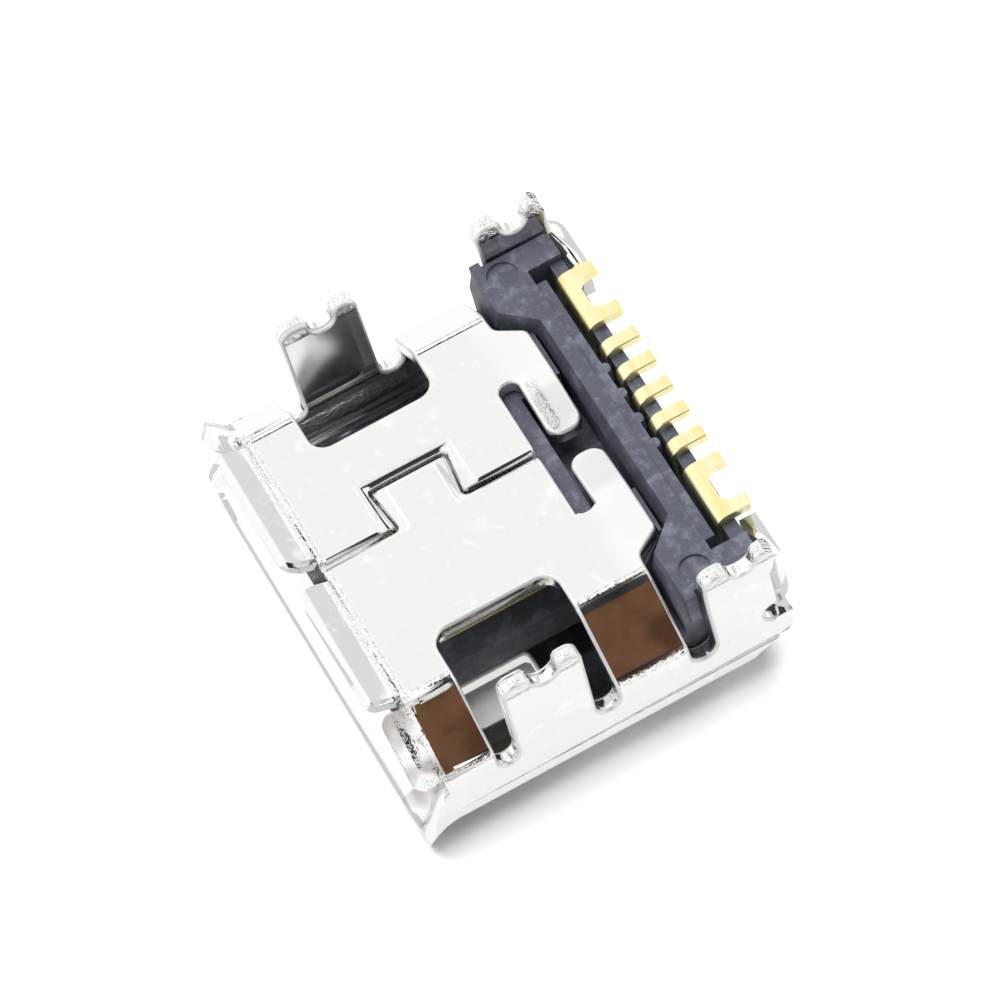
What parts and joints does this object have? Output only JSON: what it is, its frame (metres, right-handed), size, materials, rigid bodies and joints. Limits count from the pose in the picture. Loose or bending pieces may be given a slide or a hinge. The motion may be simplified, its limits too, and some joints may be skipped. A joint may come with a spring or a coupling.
{
  "type": "charging port",
  "caption": "Board-mounted charging socket: a folded metal shell with a locked seam and notched legs round a black body with gold solder tails.",
  "frame": {"origin": "bottom centre of the bounding box, under the plain side that the part rests on", "axes": "+X across the mouth, -Y out of the mouth, +Z from the plain side to the seam side that faces the board"},
  "size_m": [0.0078, 0.0064, 0.0033],
  "materials": {
    "nickel_plate": "bright nickel over rolled sheet",
    "black_plastic": "moulded, fine grain",
    "gold_plate": "satin gold over copper alloy"
  },
  "bodies": {
    "root": {"shell": "nickel_plate", "housing": "black_plastic", "contact_1": "gold_plate", "contact_2": "gold_plate", "contact_3": "gold_plate", "contact_4": "gold_plate", "contact_5": "gold_plate", "solder_lug_left": "gold_plate", "solder_lug_right": "gold_plate"}
  },
  "joints": []
}
